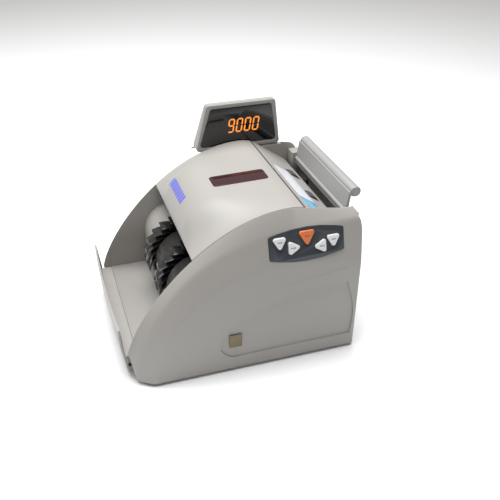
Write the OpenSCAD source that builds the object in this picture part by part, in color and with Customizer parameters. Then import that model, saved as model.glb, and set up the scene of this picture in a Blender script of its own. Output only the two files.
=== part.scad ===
// Banknote counting machine. Notes lie in the rear hopper, rollers feed them round the drum,
// and two bladed impellers lay them in the front stacker. +X is the keypad side, -Y the stacker.

/* [Body] */
// Width between the two cheeks, which the notes need
inner_w = 200; // [190:1:240]
// Thickness of each side cheek
cheek_w = 25; // [24:1:30]
// Distance from the middle to the tip of the cheeks' nose
nose_y = 145; // [135:1:175]
// Distance from the middle to the rear face
rear_y = 147; // [145:1:165]
// Height of the crest of the cheeks' arch
crest_z = 207; // [200:1:250]
// Distance from the middle to the crest
crest_y = 64; // [60:1:68]
// Wall of the moulded casings
wall = 2.5; // [2:0.1:3]
// Height of the rubber feet
foot_h = 4; // [3:0.5:8]
// Thickness of the steel sheets
sheet_t = 1.5; // [1:0.1:2]

/* [Cover] */
// Place of the cover's front edge
cover_front_y = -61; // [-70:1:-50]
// Wall of the cover
cover_t = 2.5; // [2:0.1:3]
// Gap between the cover and each cheek
seam = 0.6; // [0.4:0.1:1.5]
// Length of the dark window
window_l = 72; // [50:1:85]
// Width of the dark window
window_w = 28; // [20:1:40]

/* [Hopper] */
// Where the slope of the hopper starts behind the cover
hopper_y = 77; // [76:0.5:80]
// How far the slope falls
hopper_drop = 35; // [30:1:42]
// How far the slope reaches rearwards
hopper_run = 51; // [46:1:54]
// Radius of the feed rollers
feed_r = 18; // [14:0.5:20]
// How far the feed rollers stand out of the slope
feed_poke = 2; // [1:0.5:3]
// Width of the backrest
backrest_w = 162; // [120:1:166]

/* [Transport] */
// Radius of the drum's rollers
drum_r = 28; // [20:1:32]
// Distance from the feed axis forward to the drum axis
drum_back = 23; // [20:1:30]
// Distance from the feed axis down to the drum axis
drum_down = 46; // [44:1:56]
// Radius of every shaft
shaft_r = 3; // [2.5:0.5:4]
// Radius of the retard rollers
retard_r = 8; // [6:0.5:9]
// Radial clearance of a running fit
run_gap = 0.05; // [0.02:0.01:0.1]

/* [Stacker] */
// Place of the impeller axis
impeller_y = -40; // [-45:1:-34]
// Height of the impeller axis
impeller_z = 86; // [84:1:96]
// Radius that the impeller blades reach
blade_r = 54; // [50:1:60]
// Number of blades on a wheel
blade_n = 24; // [10:1:30]
// Width of each impeller wheel
blade_w = 20; // [10:1:24]
// Radius of the hub that the blades stand on
hub_r = 33; // [20:1:34]
// Distance from the middle to each wheel
wheel_x = 32; // [26:1:45]
// Radius of the curved stripper plates
strip_r = 40; // [35:1:44]
// Height of the stacker's floor
tray_z = 35.5; // [34:0.5:40]
// Height of the top edge of the front flap
flap_top_z = 76; // [60:1:90]
// How far the flap's middle bows forward
flap_bow = 3; // [0:0.5:6]

/* [Display] */
// Length of the display's foot
display_l = 120; // [100:1:126]
// Height of the display over its recess
display_h = 65; // [50:1:75]
// Thickness of the display's top edge
display_t = 10; // [9:0.5:14]

/* [Keypad] */
// Length of the keypad plate
panel_l = 94; // [90:1:98]
// Height of the keypad plate in its middle
panel_h = 41; // [38:0.5:42]
// Thickness of the keypad plate
panel_t = 1.6; // [1:0.1:2]
// Travel of each button
button_travel = 1.5; // [0.5:0.1:2]

/* [Hidden] */
$fn = 48;
arch_n = 14;                 // steps along each arch
half = inner_w / 2;          // inner face of each cheek
body_x = half + cheek_w;     // outer face of each cheek
crease_x = half + cheek_w / 2;
base_z = foot_h;             // underside of the casing
pan_z = base_z + sheet_t;    // top of the base pan
nose_z = 40;                 // height of the nose's tip
part_gap = 0.3;              // clearance between pieces that move past each other
fit = 0.1;                   // clearance of a piece that drops in between two others

shell = [0.80, 0.79, 0.76];
dark = [0.20, 0.21, 0.23];
black = [0.07, 0.07, 0.08];
steel = [0.66, 0.67, 0.69];
amber = [0.95, 0.50, 0.10];

// ---- helpers ----
function bez(p, t) = pow(1 - t, 3) * p[0] + 3 * pow(1 - t, 2) * t * p[1]
    + 3 * (1 - t) * t * t * p[2] + pow(t, 3) * p[3];
function bez_dir(p, t) = pow(1 - t, 2) * (p[1] - p[0]) + 2 * (1 - t) * t * (p[2] - p[1])
    + t * t * (p[3] - p[2]);
function unit(v) = v / norm(v);
// The curve's parameter where its first coordinate reaches y
function bez_at(p, y, lo = 0, hi = 1, n = 24) = n == 0 ? (lo + hi) / 2
    : let (mid = (lo + hi) / 2) bez(p, mid)[0] < y ? bez_at(p, y, mid, hi, n - 1)
    : bez_at(p, y, lo, mid, n - 1);
function on_circle(c, r, a) = [c[0] + r * cos(a), c[1] + r * sin(a)];
function flat(lists) = [for (l = lists) each l];

// A solid through rings of equal point counts, listed from -X to +X
module loft(rings) {
    n = len(rings[0]);
    m = len(rings);
    sides = [for (j = [0:m - 2]) for (i = [0:n - 1]) let (k = (i + 1) % n)
        each [[j * n + i, j * n + k, (j + 1) * n + k], [j * n + i, (j + 1) * n + k, (j + 1) * n + i]]];
    low = [for (i = [n - 1:-1:0]) i];
    high = [for (i = [0:n - 1]) (m - 1) * n + i];
    polyhedron(points = flat(rings), faces = concat(sides, [low, high]));
}
// Puts a list of [y, z] at one x
function at_x(x, list) = [for (p = list) [x, p[0], p[1]]];

// Extrudes a [y, z] drawing from x0 to x1
module along_x(x0, x1) {
    translate([x0, 0, 0]) rotate([90, 0, 90]) linear_extrude(x1 - x0) children();
}
module rod_x(y, z, r, x0, x1) {
    translate([x0, y, z]) rotate([0, 90, 0]) cylinder(r = r, h = x1 - x0);
}
module both_sides() {
    children();
    mirror([1, 0, 0]) children();
}
// Angle of the outward normal of the edge from a to b, on an anticlockwise outline
function out_angle(a, b) = atan2(a[0] - b[0], b[1] - a[1]);
// Convex outline, listed anticlockwise, with corners of radius r in steps
module rounded(points, r, steps = 5) {
    n = len(points);
    polygon(flat([for (i = [0:n - 1]) let (
        a0 = out_angle(points[(i + n - 1) % n], points[i]),
        a1 = out_angle(points[i], points[(i + 1) % n]), turn = (a1 - a0 + 360) % 360)
        [for (k = [0:steps]) on_circle(points[i], r, a0 + turn * k / steps)]]));
}
module ring2(r_out, r_in) {
    difference() {
        circle(r_out);
        circle(r_in);
    }
}
// A sector ring from angle a0 to a1
module arc_band(c, r_in, r_out, a0, a1, n = 20) {
    polygon(concat([for (i = [0:n]) on_circle(c, r_out, a0 + (a1 - a0) * i / n)],
        [for (i = [n:-1:0]) on_circle(c, r_in, a0 + (a1 - a0) * i / n)]));
}

// ---- axes, each as [y, z] ----
// Falling line of the cheeks' top behind the crest
function fall_z(y) = crest_z - (y - crest_y) * 13 / (rear_y - 8 - crest_y);
slope_top = [hopper_y, fall_z(hopper_y) - 0.7];
slope_dir = unit([hopper_run, -hopper_drop]);
slope_in = [slope_dir[1], -slope_dir[0]];      // into the machine
slope_len = norm([hopper_run, hopper_drop]);
function on_slope(s, d) = slope_top + s * slope_dir + d * slope_in;
feed_axis = on_slope(0.72 * slope_len, feed_r - feed_poke);
drum_axis = feed_axis - [drum_back, drum_down];
impeller = [impeller_y, impeller_z];
knuckle_r = 3.2;
cover_tail = 2.5;            // how far the cover reaches behind its hinge
cover_hinge = [hopper_y - 0.5 - norm([cover_tail, knuckle_r + 0.4]), crest_z - 5.6];
flap_hinge = [-nose_y + 7, base_z + 9];
motor_axis = [drum_axis[0] - 20, base_z + 38];
pin_r = 1.5;                 // radius of every hinge pin
nip = 0.6;                   // gap between feed and retard rollers
nip_angle = -25;             // direction from the feed axis to the retard axis
retard_axis = on_circle(feed_axis, feed_r + retard_r + nip, nip_angle);
knob_x = -50;
knob_stem_r = 3;
shaft_places = [impeller, drum_axis, feed_axis];
rod_r = 4;
screw_r = 1.5;
screw_places = [for (y = [impeller_y, rear_y - 47]) [y, base_z + 10]];
rod_places = [[impeller_y + 70, impeller_z - 30], [rear_y - 32, base_z + 24]];

// ---- cheeks ----
// The three edges that shape a cheek: inner edge, crease and outer edge
edge_inner = [[-nose_y, nose_z], [-nose_y + 14, nose_z + 59], [crest_y - 100, crest_z + 5],
    [crest_y, crest_z]];
edge_crease = [[-nose_y + 5, base_z + 16], [-nose_y + 27.5, base_z + 86],
    [crest_y - 139, crest_z - 27], [crest_y, crest_z - 22]];
edge_outer = [[-nose_y + 25, base_z + 2], [-nose_y + 35, base_z + 24],
    [crest_y - 164, crest_z - 57.5], [crest_y - 7, crest_z - 63]];

// One outline of a cheek: foot, arch, rear shoulder and heel, moved inwards by cut
function cheek_ring(edge, toe, tail, shoulder, cut, low) = concat([[toe + cut, low]],
    [for (i = [0:arch_n]) let (t = i / arch_n, d = unit(bez_dir(edge, t)))
        bez(edge, t) + cut * [d[1], -d[0]]],
    [tail - cut * [0.6, 1], shoulder - cut * [1, 0.4], [shoulder[0] - cut, low]]);

module cheek_solid(cuts, xs, low) {
    loft([
        at_x(xs[0], cheek_ring(edge_inner, -nose_y + 6, [rear_y - 8, crest_z - 13],
            [rear_y, crest_z - 25], cuts[0], low)),
        at_x(xs[1], cheek_ring(edge_crease, -nose_y + 7, [rear_y - 4, crest_z - 20],
            [rear_y, crest_z - 32], cuts[1], low)),
        at_x(xs[2], cheek_ring(edge_outer, -nose_y + 25.5, [rear_y - 26, crest_z - 70],
            [rear_y - 3, crest_z - 76], cuts[2], low))]);
}
module cheek_outside() {
    cheek_solid([0, 0, 0], [half, crease_x, body_x], base_z);
}
module cheek_inside() {
    cheek_solid([3.4 * wall, 2.4 * wall, 0.2 * wall],
        [half + wall, crease_x, body_x - wall], base_z - 1);
}
// Holes that both cheeks share
module cheek_holes() {
    translate([half - 1, -nose_y, base_z - 1]) cube([wall + 2, nose_y + rear_y, pan_z - base_z + 1]);
    for (c = shaft_places) rod_x(c[0], c[1], shaft_r + 2, half - 1, half + wall + 1);
    for (c = rod_places) rod_x(c[0], c[1], rod_r, half - 1, half + wall + 1);
    for (c = screw_places) rod_x(c[0], c[1], screw_r, half - 1, half + wall + 1);
    rod_x(flap_hinge[0], flap_hinge[1], pin_r, half - 1, half + wall);
}
module right_cheek() color(shell) difference() {
    cheek_outside();
    cheek_inside();
    cheek_holes();
    on_keypad() translate([-panel_l / 2 - fit, -panel_h / 2 - fit, 0])
        cube([panel_l + 2 * fit, panel_h + 2 * fit, 20]);
    on_keypad() for (b = buttons) translate([b[0], b[1], -6]) linear_extrude(8)
        button_outline(b, button_wall);
    badge_block(badge_size, badge_t);
}
module left_cheek() color(shell) mirror([1, 0, 0]) difference() {
    cheek_outside();
    difference() {
        cheek_inside();
        translate([half - 1, recess_y[0] - wall, recess_z - wall])
            cube([cheek_w + 2, recess_y[1] - recess_y[0] + 2 * wall, 60]);
    }
    cheek_holes();
    rod_x(motor_axis[0], motor_axis[1], shaft_r + 2, half - 1, half + wall + 1);
    translate([half - 1, recess_y[0], recess_z]) cube([cheek_w + 2, recess_y[1] - recess_y[0], 60]);
    translate([display_axis[0], recess_y[0] - wall, display_axis[1]]) rotate([-90, 0, 0])
        cylinder(r = pin_r, h = recess_y[1] - recess_y[0] + 2 * wall);
}
badge_size = [16, 19];
badge_t = 0.3;
// The badge's block on the right cheek's side, or the pocket that it drops into
module badge_block(size, depth) {
    translate([body_x - depth, -16 - size[0] / 2, 46.5 - size[1] / 2]) cube([depth + 1, size[0], size[1]]);
}
module badge() color([0.45, 0.40, 0.27]) intersection() {
    badge_block(badge_size - [fit, fit], badge_t);
    translate([0, -100, 0]) cube([body_x, 200, 100]);
}

// ---- base and frame ----
frame_x = half + wall + 1;   // inner face of each frame plate
bearing_r = 6.5;
bearing_w = 2.5;
pan_lip = 0.4;

module base_pan() color(steel) difference() {
    translate([0, 0, base_z]) linear_extrude(sheet_t) {
        translate([-body_x + wall + pan_lip, -nose_y + 30])
            square([2 * (body_x - wall - pan_lip), nose_y + rear_y - 30 - 3.4 * wall - pan_lip]);
        translate([-half, ledge_y]) square([2 * half, rear_y - 4 - ledge_y]);
    }
    for (p = foot_places) translate([p[0], p[1], base_z - 1]) cylinder(r = 2, h = sheet_t + 2);
}
foot_places = [for (x = [-body_x + 20, body_x - 20], y = [-nose_y + 50, rear_y - 22]) [x, y]];
module rubber_feet() color(black) for (p = foot_places) translate([p[0], p[1], 0]) {
    cylinder(r = 9, h = foot_h);
    cylinder(r = 2, h = foot_h + sheet_t);
}
// A side frame: a steel plate that carries the bearings
module frame_plate() difference() {
    along_x(frame_x, frame_x + sheet_t) difference() {
        union() {
            rounded([[impeller_y - 8, base_z + 20], [rear_y - 24, base_z + 20],
                [feed_axis[0] + 8, feed_axis[1] - 4], [feed_axis[0] - 8, feed_axis[1] + 1],
                [impeller_y - 8, impeller_z + 6]], 8);
            translate([impeller_y - 16, pan_z]) square([rear_y - 8 - impeller_y, 20]);
        }
        for (c = shaft_places) translate(c) circle(bearing_r);
        for (c = rod_places) translate(c) circle(rod_r);
        for (c = screw_places) translate(c) circle(screw_r);
        translate(motor_axis) circle(shaft_r + 2);
    }
}
module right_frame_plate() color(steel) frame_plate();
module left_frame_plate() color(steel) mirror([1, 0, 0]) frame_plate();
module tie_rods() color(steel) for (c = rod_places)
    rod_x(c[0], c[1], rod_r, -frame_x - sheet_t, frame_x + sheet_t);
module shaft_bearings() color(steel) both_sides() for (c = shaft_places)
    translate([frame_x - 0.5, c[0], c[1]]) rotate([0, 90, 0]) linear_extrude(bearing_w)
        ring2(bearing_r, shaft_r + run_gap);

// ---- stacker ----
slot_w = blade_w + 4;        // width of the gaps that the wheels turn in
// Where the tray's slots end, in front of and behind the wheels
slot_reach = sqrt(pow(blade_r + 2, 2) - pow(impeller_z - tray_z, 2));
ledge_y = -nose_y + 11;      // front edge of the tray
module stacker_tray() color(shell) translate([0, 0, tray_z - wall]) linear_extrude(wall) difference() {
    translate([-half + fit, ledge_y]) square([inner_w - 2 * fit, impeller_y + slot_reach + 14 - ledge_y]);
    for (s = [-1, 1]) translate([s * wheel_x - slot_w / 2, impeller_y - slot_reach - 2])
        square([slot_w, 2 * slot_reach + 4]);
}
strip_t = 2.2;
// The plates beside and between the wheels, curved above the axis and straight down to the tray
module stripper_plates() color(shell) {
    for (x = [[-half + fit, -wheel_x - slot_w / 2], [-wheel_x + slot_w / 2, wheel_x - slot_w / 2],
        [wheel_x + slot_w / 2, half - fit]])
        along_x(x[0], x[1]) {
            arc_band(impeller, strip_r, strip_r + strip_t, 80, 180);
            translate([impeller_y - strip_r - strip_t, tray_z]) square([strip_t, impeller_z - tray_z]);
        }
}
module front_ledge() color(shell) translate([-half + fit, ledge_y, pan_z])
    cube([inner_w - 2 * fit, wall, tray_z - wall - pan_z]);
flap_half = half - seam;
flap_arc = [[-nose_y - 1, base_z + 4], [-nose_y - 4, base_z + 24], [-nose_y - 9, flap_top_z - 25],
    [-nose_y - 9, flap_top_z]];
// Section of the flap, bowed forward by b
function flap_ring(b) = concat([for (i = [0:8]) bez(flap_arc, i / 8) - [b, 0]],
    [for (i = [8:-1:0]) bez(flap_arc, i / 8) + [wall - b, 0]]);
// Section of the shelf that carries the tray's floor on to the flap
function shelf_ring(b) = let (front = -nose_y - 4 - b, back = ledge_y - part_gap)
    [[front, tray_z - wall], [front, tray_z], [back, tray_z], [back, tray_z - wall]];
module flap_pins() color(steel) both_sides()
    rod_x(flap_hinge[0], flap_hinge[1], pin_r, half - 7, half + wall);
module stop_flap() color(shell) difference() {
    union() {
        loft([for (i = [-4:4]) let (u = i / 4) at_x(u * flap_half, flap_ring(flap_bow * (1 - u * u)))]);
        loft([for (i = [-4:4]) let (u = i / 4) at_x(u * (flap_half - fit), shelf_ring(flap_bow * (1 - u * u)))]);
        both_sides() along_x(half - 8, half - 2) {
            translate(flap_hinge) circle(4);
            translate([-nose_y - 0.3, flap_hinge[1] - 4]) square([flap_hinge[0] + nose_y + 0.3, 8]);
        }
    }
    rod_x(flap_hinge[0], flap_hinge[1], pin_r + run_gap, -half, half);
}

// ---- cover ----
cover_rear_y = cover_hinge[0] + cover_tail;
crown_z = crest_z - 2.5;     // height of the level middle of the cover
cover_t0 = bez_at(edge_inner, cover_front_y);
cover_front_z = bez(edge_inner, cover_t0)[1] - 0.5;
side_line = concat([for (i = [0:arch_n]) bez(edge_inner, cover_t0 + (1 - cover_t0) * i / arch_n) - [0, 0.5]],
    [[cover_rear_y, fall_z(cover_rear_y) - 0.5]]);
crown_bow = [[cover_front_y, cover_front_z], [cover_front_y + 4, cover_front_z + 26],
    [cover_front_y + 24, crown_z - 1], [cover_front_y + 56, crown_z]];
crown_line = concat([for (i = [0:8]) bez(crown_bow, i / 8)],
    [for (i = [1:6]) let (y = cover_front_y + 56 + (crest_y - cover_front_y - 56) * i / 6)
        [y, crown_z + 1.5 * i / 6]],
    [[cover_rear_y, fall_z(cover_rear_y) - 0.5]]);
// Share of the crown at a distance from the middle, from 1 to 0
function crown_share(x) = let (u = min(1, max(0, (abs(x) - 40) / (half - seam - 40)))) 1 - u * u * (3 - 2 * u);
function cover_line(x) = let (k = crown_share(x)) [for (i = [0:arch_n + 1]) side_line[i] * (1 - k) + crown_line[i] * k];
// Moves a line inwards by d
function under(line, d) = [for (i = [0:len(line) - 1]) let (a = line[max(0, i - 1)],
    b = line[min(len(line) - 1, i + 1)], v = unit(b - a)) line[i] + d * [v[1], -v[0]]];
function cover_ring(x, d) = concat(cover_line(x), [for (i = [arch_n + 1:-1:0]) under(cover_line(x), d)[i]]);
// Depth and thickness of the cover's side flanges
flange_h = 9;
flange_t = 2;
cover_half = half - seam;
// Stations across the cover as [x, depth of its section], for one side
cover_side = [[cover_half, flange_h], [cover_half - flange_t, flange_h], [cover_half - flange_t - 0.5, cover_t],
    for (u = [0.88, 0.8, 0.65, 0.5, 0.4]) [u * cover_half, cover_t]];
window_y = cover_front_y + 50;
module top_cover() color(shell) difference() {
    union() {
        loft(concat([for (s = cover_side) at_x(-s[0], cover_ring(s[0], s[1]))],
            [for (i = [len(cover_side) - 1:-1:0]) let (s = cover_side[i]) at_x(s[0], cover_ring(s[0], s[1]))]));
        both_sides() rod_x(cover_hinge[0], cover_hinge[1], knuckle_r, half - 14, cover_half - flange_t / 2);
    }
    both_sides() rod_x(cover_hinge[0], cover_hinge[1], pin_r + run_gap, ear_x - 1, half);
    window_block(0);
}
// The window's block, smaller by gap on every side
module window_block(gap) {
    translate([gap - 8, window_y + gap, crown_z - 9])
        cube([window_w - 2 * gap, window_l - 2 * gap, 12]);
}
module cover_window() color([0.24, 0.15, 0.16]) intersection() {
    window_block(fit);
    loft([for (x = [-30, 30]) at_x(x, cover_ring(x, cover_t))]);
}
module cover_pins() color(steel) both_sides()
    rod_x(cover_hinge[0], cover_hinge[1], pin_r, ear_x, cover_half - flange_t);
module upper_guide() color([0.25, 0.20, 0.17]) along_x(-half + fit, half - fit)
    arc_band(impeller, blade_r + 5, blade_r + 7, 18, 88, 16);

// ---- hopper ----
// Under the cover's rear corners, a bent ear of the hopper plate carries each hinge pin
ear_w = 5;
ear_x = half - 14.5 - ear_w;
module cover_ears() both_sides() along_x(ear_x, ear_x + ear_w) difference() {
    translate(cover_hinge) polygon([[-1.7, -0.2], [0, -0.2], [1.9, -2.6], [1.9, -5.2],
        on_slope(0.12 * slope_len, 0) - cover_hinge, on_slope(0.2 * slope_len, 1) - cover_hinge,
        [-1.7, -8]]);
    translate(cover_hinge) circle(pin_r);
}
feed_xs = [-wheel_x, wheel_x];
feed_w = 16;
module hopper_plate() color(shell) difference() {
    union() {
        along_x(-half + fit, half - fit) polygon([slope_top, on_slope(slope_len, 0),
            on_slope(slope_len, wall), [hopper_y, on_slope(wall, wall)[1]]]);
        cover_ears();
    }
    for (x = feed_xs) rod_x(feed_axis[0], feed_axis[1], feed_r + 1, x - feed_w / 2 - 1, x + feed_w / 2 + 1);
}
module hopper_label() color([0.90, 0.92, 0.97]) along_x(wheel_x + feed_w / 2 + 4, half - 12)
    polygon([on_slope(18, -0.2), on_slope(18, 0), on_slope(46, 0), on_slope(46, -0.2)]);
post_w = half - backrest_w / 2 - 1.5;
backrest_axis = [rear_y - 8, crest_z - 29];
rear_top_z = backrest_axis[1] - 8;
inlet_x = -62;
rocker_x = -20;
socket_z = base_z + 26;
module rear_cover() color(shell) difference() {
    union() {
        translate([-half + fit, rear_y - wall, pan_z]) cube([inner_w - 2 * fit, wall, rear_top_z - pan_z]);
        both_sides() translate([half - post_w, rear_y - 14, rear_top_z - 20])
            cube([post_w - fit, 14, 35]);
    }
    translate([inlet_x - 14, rear_y - 10, socket_z - 10.5]) cube([28, 20, 21]);
    translate([rocker_x - 7, rear_y - 10, socket_z - 10.5]) cube([14, 20, 21]);
    translate([knob_x, rear_y - 10, retard_axis[1]]) rotate([-90, 0, 0])
        cylinder(r = knob_stem_r + run_gap, h = 20);
    both_sides() rod_x(backrest_axis[0], backrest_axis[1], pin_r, half - post_w - 1, half);
    for (x = [20:8:84]) translate([x, rear_y - 10, socket_z - 14]) cube([3, 20, 40]);
}
module backrest_pins() color(steel) both_sides()
    rod_x(backrest_axis[0], backrest_axis[1], pin_r, backrest_w / 2 - 7, half - 4);
bar_y = 6.5;
bar_c = [rear_y + 3.5, crest_z - 4];
module backrest_plate() color(shell) difference() {
    along_x(-backrest_w / 2, backrest_w / 2) {
        translate(backrest_axis) circle(3);
        rounded([backrest_axis + [-1, -7], backrest_axis + [0.6, -7], bar_c + [-6.4, 0], bar_c + [-8, 0]], 1);
    }
    rod_x(backrest_axis[0], backrest_axis[1], pin_r + run_gap, -half, half);
}
module grip_bar() color(shell) along_x(-backrest_w / 2, backrest_w / 2) difference() {
    rounded([bar_c + [-1.5, -0.5], bar_c + [0.5, -0.5], bar_c + [0.5, 0.5], bar_c + [-1.5, 0.5]], 6);
    rounded([backrest_axis + [-1, -7], backrest_axis + [0.6, -7], bar_c + [-6.4, 0], bar_c + [-8, 0]], 1.1);
}

// ---- keypad ----
keypad_top = [crease_x, crest_z - 22.5];
keypad_low = [body_x, crest_z - 63.5];
keypad_y = crest_y + 9;
keypad_tilt = atan((keypad_low[0] - keypad_top[0]) / (keypad_top[1] - keypad_low[1]));
// Plane of the keypad: first axis rearwards, second up the slope, third outwards
module on_keypad() {
    mid = 0.55 * keypad_top + 0.45 * keypad_low;
    translate([mid[0], keypad_y, mid[1]]) rotate([0, -keypad_tilt, 0])
        multmatrix([[0, 0, 1, -1.2], [1, 0, 0, 0], [0, 1, 0, 0], [0, 0, 0, 1]]) children();
}
button_wall = 0.5;           // gap round a button
// Place, size and pointing angle of each button
buttons = [[-34, 7, 7, -90], [-18, -2, 7, 0], [0, 10, 9, -90], [18, -5, 7, 180], [33, 1, 7, -90]];
module button_outline(b, grow) rotate(b[3]) rounded([for (i = [0:2])
    (b[2] - 1) * [cos(120 * i), sin(120 * i)]], 2.5 + grow);
module button(i) {
    b = buttons[i];
    on_keypad() translate([b[0], b[1], 0]) {
        translate([0, 0, -3]) linear_extrude(panel_t + 5.4) button_outline(b, 0);
        translate([0, 0, -5]) linear_extrude(2.2) button_outline(b, 1);
    }
}
module keypad_plate() color(dark) on_keypad() linear_extrude(panel_t) difference() {
    intersection() {
        bow = panel_h * 0.16;
        r = (pow(panel_l / 2, 2) + bow * bow) / (2 * bow);
        for (s = [-1, 1]) translate([0, s * (r - panel_h / 2)]) circle(r, $fn = 96);
        square([panel_l, panel_h], center = true);
    }
    for (b = buttons) translate([b[0], b[1]]) button_outline(b, button_wall);
}
module keypad_board() color([0.1, 0.35, 0.2]) difference() {
    on_keypad() translate([-44, -14, -5 - button_travel - part_gap - 1.6]) cube([86, 32, 1.6]);
    rod_x(feed_axis[0], feed_axis[1], bearing_r + part_gap, half, frame_x - 0.5 + bearing_w + part_gap);
    rod_x(feed_axis[0], feed_axis[1], shaft_r + part_gap, half, right_end + part_gap);
}
module button_down_1() color("white") button(0);
module button_right() color("white") button(1);
module button_start() color([0.88, 0.45, 0.25]) button(2);
module button_left() color("white") button(3);
module button_down_2() color("white") button(4);

// ---- display ----
recess_z = crest_z - 13.5;
recess_y = [-2, display_l + 2];
display_axis = [body_x - 7, recess_z + 3.5];
display_face = half + 0.5;
display_foot = recess_z + 2.5;
display_top = display_foot + display_h;
bezel_t = 3.5;
glass_t = 2;
glass_rim = 5.5;
// Front outline of the display, inset by d
module display_outline(d) rounded([[3 + d, display_foot + 4 + d], [display_l - 5 - d, display_foot + 4 + d],
    [display_l - 12 - d, display_top - 4 - d], [17 + d, display_top - 4 - d]], 4);
// Extrudes a [y, z] drawing outwards from the display's face, from depth a to b
module display_layer(a, b) {
    mirror([1, 0, 0]) along_x(display_face + a, display_face + b) children();
}
module display_housing() color(shell) difference() {
    union() {
        intersection() {
            display_layer(bezel_t, cheek_w) display_outline(0);
            translate([0, display_l + 20, 0]) rotate([90, 0, 0]) linear_extrude(display_l + 40) polygon([
                [-display_face, display_foot - 1], [-display_axis[0], display_foot - 1],
                [-display_axis[0] - 2.9, display_axis[1] + 1], [-display_face - display_t, display_top + 1],
                [-display_face, display_top + 1]]);
        }
        translate([-display_axis[0], 2, display_axis[1]]) rotate([-90, 0, 0])
            cylinder(r = 3, h = display_l - 6);
    }
    translate([-display_axis[0], -10, display_axis[1]]) rotate([-90, 0, 0])
        cylinder(r = pin_r + run_gap, h = display_l + 20);
    display_layer(0, bezel_t + 5) translate([34, display_foot + 16]) square([56, 32]);
}
module display_bezel() color(shell) difference() {
    display_layer(0, bezel_t) display_outline(0);
    display_layer(-1, glass_t) display_outline(glass_rim);
    display_layer(0, bezel_t + 1) translate([34, display_foot + 16]) square([56, 32]);
}
module display_glass() color(black) display_layer(0.2, glass_t) display_outline(glass_rim + fit);
module digit_module() color(amber) display_layer(glass_t + 0.2, bezel_t + 5)
    translate([34 + fit, display_foot + 16 + fit]) square([56 - 2 * fit, 32 - 2 * fit]);
module display_pin() color(steel) translate([-display_axis[0], recess_y[0] - wall, display_axis[1]])
    rotate([-90, 0, 0]) cylinder(r = pin_r, h = recess_y[1] - recess_y[0] + 2 * wall);

// ---- rotors ----
belt_w = 4;
belt_t = 1.2;
belt_xs = [for (i = [0:2]) frame_x + bearing_w + 0.2 + i * (belt_w + 0.8)];
shaft_end = belt_xs[2] + belt_w + 0.4;
drum_pulley_rs = [12, 18, 14];
feed_pulley_r = 10;
motor_pulley_r = 8;
impeller_pulley_r = 20;
right_end = frame_x + bearing_w;

module pulley(c, i, r) {
    mirror([1, 0, 0]) translate([belt_xs[i], c[0], c[1]]) rotate([0, 90, 0]) difference() {
        cylinder(r = r, h = belt_w);
        translate([0, 0, -1]) cylinder(r = shaft_r, h = belt_w + 2);
    }
}
module impeller_shaft() color(steel) rod_x(impeller_y, impeller_z, shaft_r, -shaft_end, right_end);
// A wheel of curved blades that lean back against the turn
module impeller_wheel(x) difference() {
    along_x(x - blade_w / 2, x + blade_w / 2) translate(impeller) {
        circle(hub_r);
        for (k = [0:blade_n - 1]) rotate(k * 360 / blade_n) polygon(concat(
            [for (i = [0:8]) blade_point(i / 8, 0)], [for (i = [8:-1:0]) blade_point(i / 8, 1)]));
    }
    along_x(x - blade_w, x + blade_w / 2 - hub_wall) translate(impeller) ring2(hub_r - hub_wall, 9);
    rod_x(impeller_y, impeller_z, shaft_r, x - blade_w, x + blade_w);
}
hub_wall = 3;
blade_sweep = 34;            // angle between a blade's root and its tip
blade_root = hub_r - 1;
function blade_point(u, side) = let (r = blade_root + (blade_r - blade_root) * u,
    a = blade_sweep * pow(u, 1.3) + side * 57 * (1.8 - 0.7 * u) / r) [r * cos(a), r * sin(a)];
module left_impeller() color(black) impeller_wheel(-wheel_x);
module right_impeller() color(black) impeller_wheel(wheel_x);
module impeller_pulley() color(dark) pulley(impeller, 2, impeller_pulley_r);

module drum_shaft() color(steel) rod_x(drum_axis[0], drum_axis[1], shaft_r, -shaft_end, right_end);
module roller_pair(c, r, w, xs) for (x = xs) translate([x - w / 2, c[0], c[1]]) rotate([0, 90, 0])
    difference() {
        cylinder(r = r, h = w, $fn = 72);
        translate([0, 0, -1]) cylinder(r = shaft_r, h = w + 2);
    }
module drum_rollers() color(dark) roller_pair(drum_axis, drum_r, 22, [-60, 0, 60]);
module drum_pulleys() color(dark) for (i = [0:2]) pulley(drum_axis, i, drum_pulley_rs[i]);
module feed_shaft() color(steel) rod_x(feed_axis[0], feed_axis[1], shaft_r, -belt_xs[0] - belt_w - 0.4, right_end);
module feed_rollers() color(dark) roller_pair(feed_axis, feed_r, feed_w, feed_xs);
module feed_pulley() color(dark) pulley(feed_axis, 0, feed_pulley_r);

// ---- note gap ----
module retard_rollers() color(dark) roller_pair(retard_axis, retard_r, 12, feed_xs);
module retard_carrier() color(black) {
    rod_x(retard_axis[0], retard_axis[1], shaft_r, -wheel_x - 12, wheel_x + 12);
    for (x = [-wheel_x - 12, wheel_x + 9]) along_x(x, x + 3) rounded([retard_axis + [-1, -12],
        retard_axis + [2, -12], retard_axis + [2, 0], retard_axis + [-1, 0]], 3.5);
    translate([-wheel_x - 12, retard_axis[0] - 3, retard_axis[1] - 17]) cube([2 * wheel_x + 24, 8, 4]);
}
module gap_knob() color(black) translate([knob_x, rear_y + 0.5, retard_axis[1]]) rotate([-90, 0, 0]) {
    difference() {
        cylinder(r = 9, h = 8);
        for (i = [0:11]) rotate(30 * i) translate([9.6, 0, -1]) cylinder(r = 1.4, h = 10);
    }
    translate([0, 0, -8]) cylinder(r = knob_stem_r, h = 9);
}

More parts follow.
